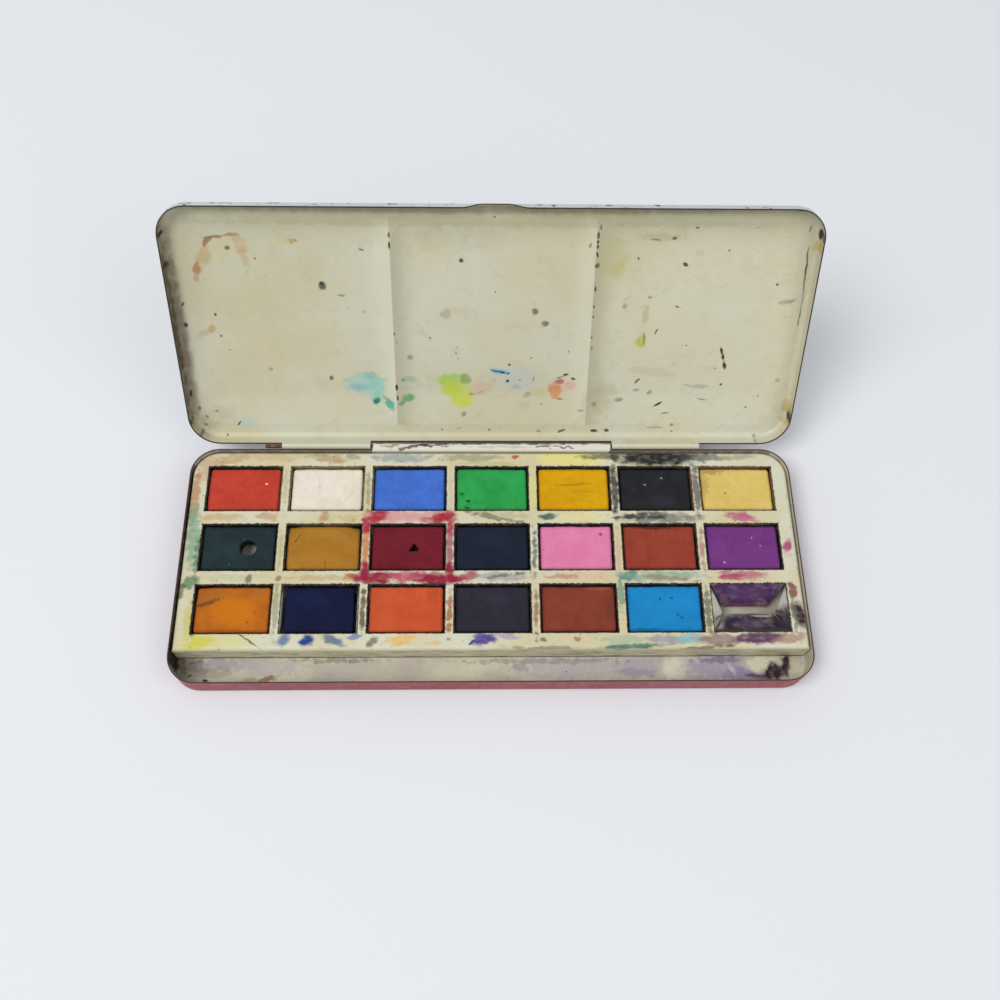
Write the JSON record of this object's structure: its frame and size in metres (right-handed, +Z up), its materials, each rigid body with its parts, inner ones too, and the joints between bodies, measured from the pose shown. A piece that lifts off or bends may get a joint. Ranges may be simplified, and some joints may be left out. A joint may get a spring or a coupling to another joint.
{
  "type": "watercolour paint tin",
  "caption": "Hinged enamelled tin of watercolour cakes held in a stamped plate, with a brush trough and a lid dished into mixing wells.",
  "frame": {"origin": "centre of the tray's flat underside, on the surface that the tin stands on", "axes": "+Z up, +X along the tin's length and its hinge, to the right of someone painting, +Y towards the hinge"},
  "size_m": [0.2412, 0.1535, 0.096],
  "materials": {
    "tray_enamel": "satin",
    "plate_enamel": "satin",
    "lid_enamel": "satin",
    "wire_steel": "matte",
    "paint_vermilion": "matte",
    "paint_white": "matte",
    "paint_cobalt_blue": "matte",
    "paint_green": "matte",
    "paint_golden_yellow": "matte",
    "paint_black": "matte",
    "paint_pale_yellow": "matte",
    "paint_viridian": "matte",
    "paint_ochre": "matte",
    "paint_crimson": "matte",
    "paint_indigo": "matte",
    "paint_pink": "matte",
    "paint_red_brown": "matte",
    "paint_violet": "matte",
    "paint_orange_yellow": "matte",
    "paint_prussian_blue": "matte",
    "paint_orange_red": "matte",
    "paint_grey_black": "matte",
    "paint_brown": "matte",
    "paint_cerulean": "matte"
  },
  "bodies": {
    "tray": {"base_tray": "tray_enamel", "pan_plate": "plate_enamel", "hinge_wire": "wire_steel", "cake_vermilion": "paint_vermilion", "cake_white": "paint_white", "cake_cobalt_blue": "paint_cobalt_blue", "cake_green": "paint_green", "cake_golden_yellow": "paint_golden_yellow", "cake_black": "paint_black", "cake_pale_yellow": "paint_pale_yellow", "cake_viridian": "paint_viridian", "cake_ochre": "paint_ochre", "cake_crimson": "paint_crimson", "cake_indigo": "paint_indigo", "cake_pink": "paint_pink", "cake_red_brown": "paint_red_brown", "cake_violet": "paint_violet", "cake_orange_yellow": "paint_orange_yellow", "cake_prussian_blue": "paint_prussian_blue", "cake_orange_red": "paint_orange_red", "cake_grey_black": "paint_grey_black", "cake_brown": "paint_brown", "cake_cerulean": "paint_cerulean"},
    "lid": {"lid": "lid_enamel"}
  },
  "joints": [
    {"name": "lid_hinge", "type": "hinge", "parent": "tray", "child": "lid", "pos_m": [0, 0.0497, 0.011], "axis": [-1, 0, 0], "range_deg": [-121.5, 58.5]}
  ]
}
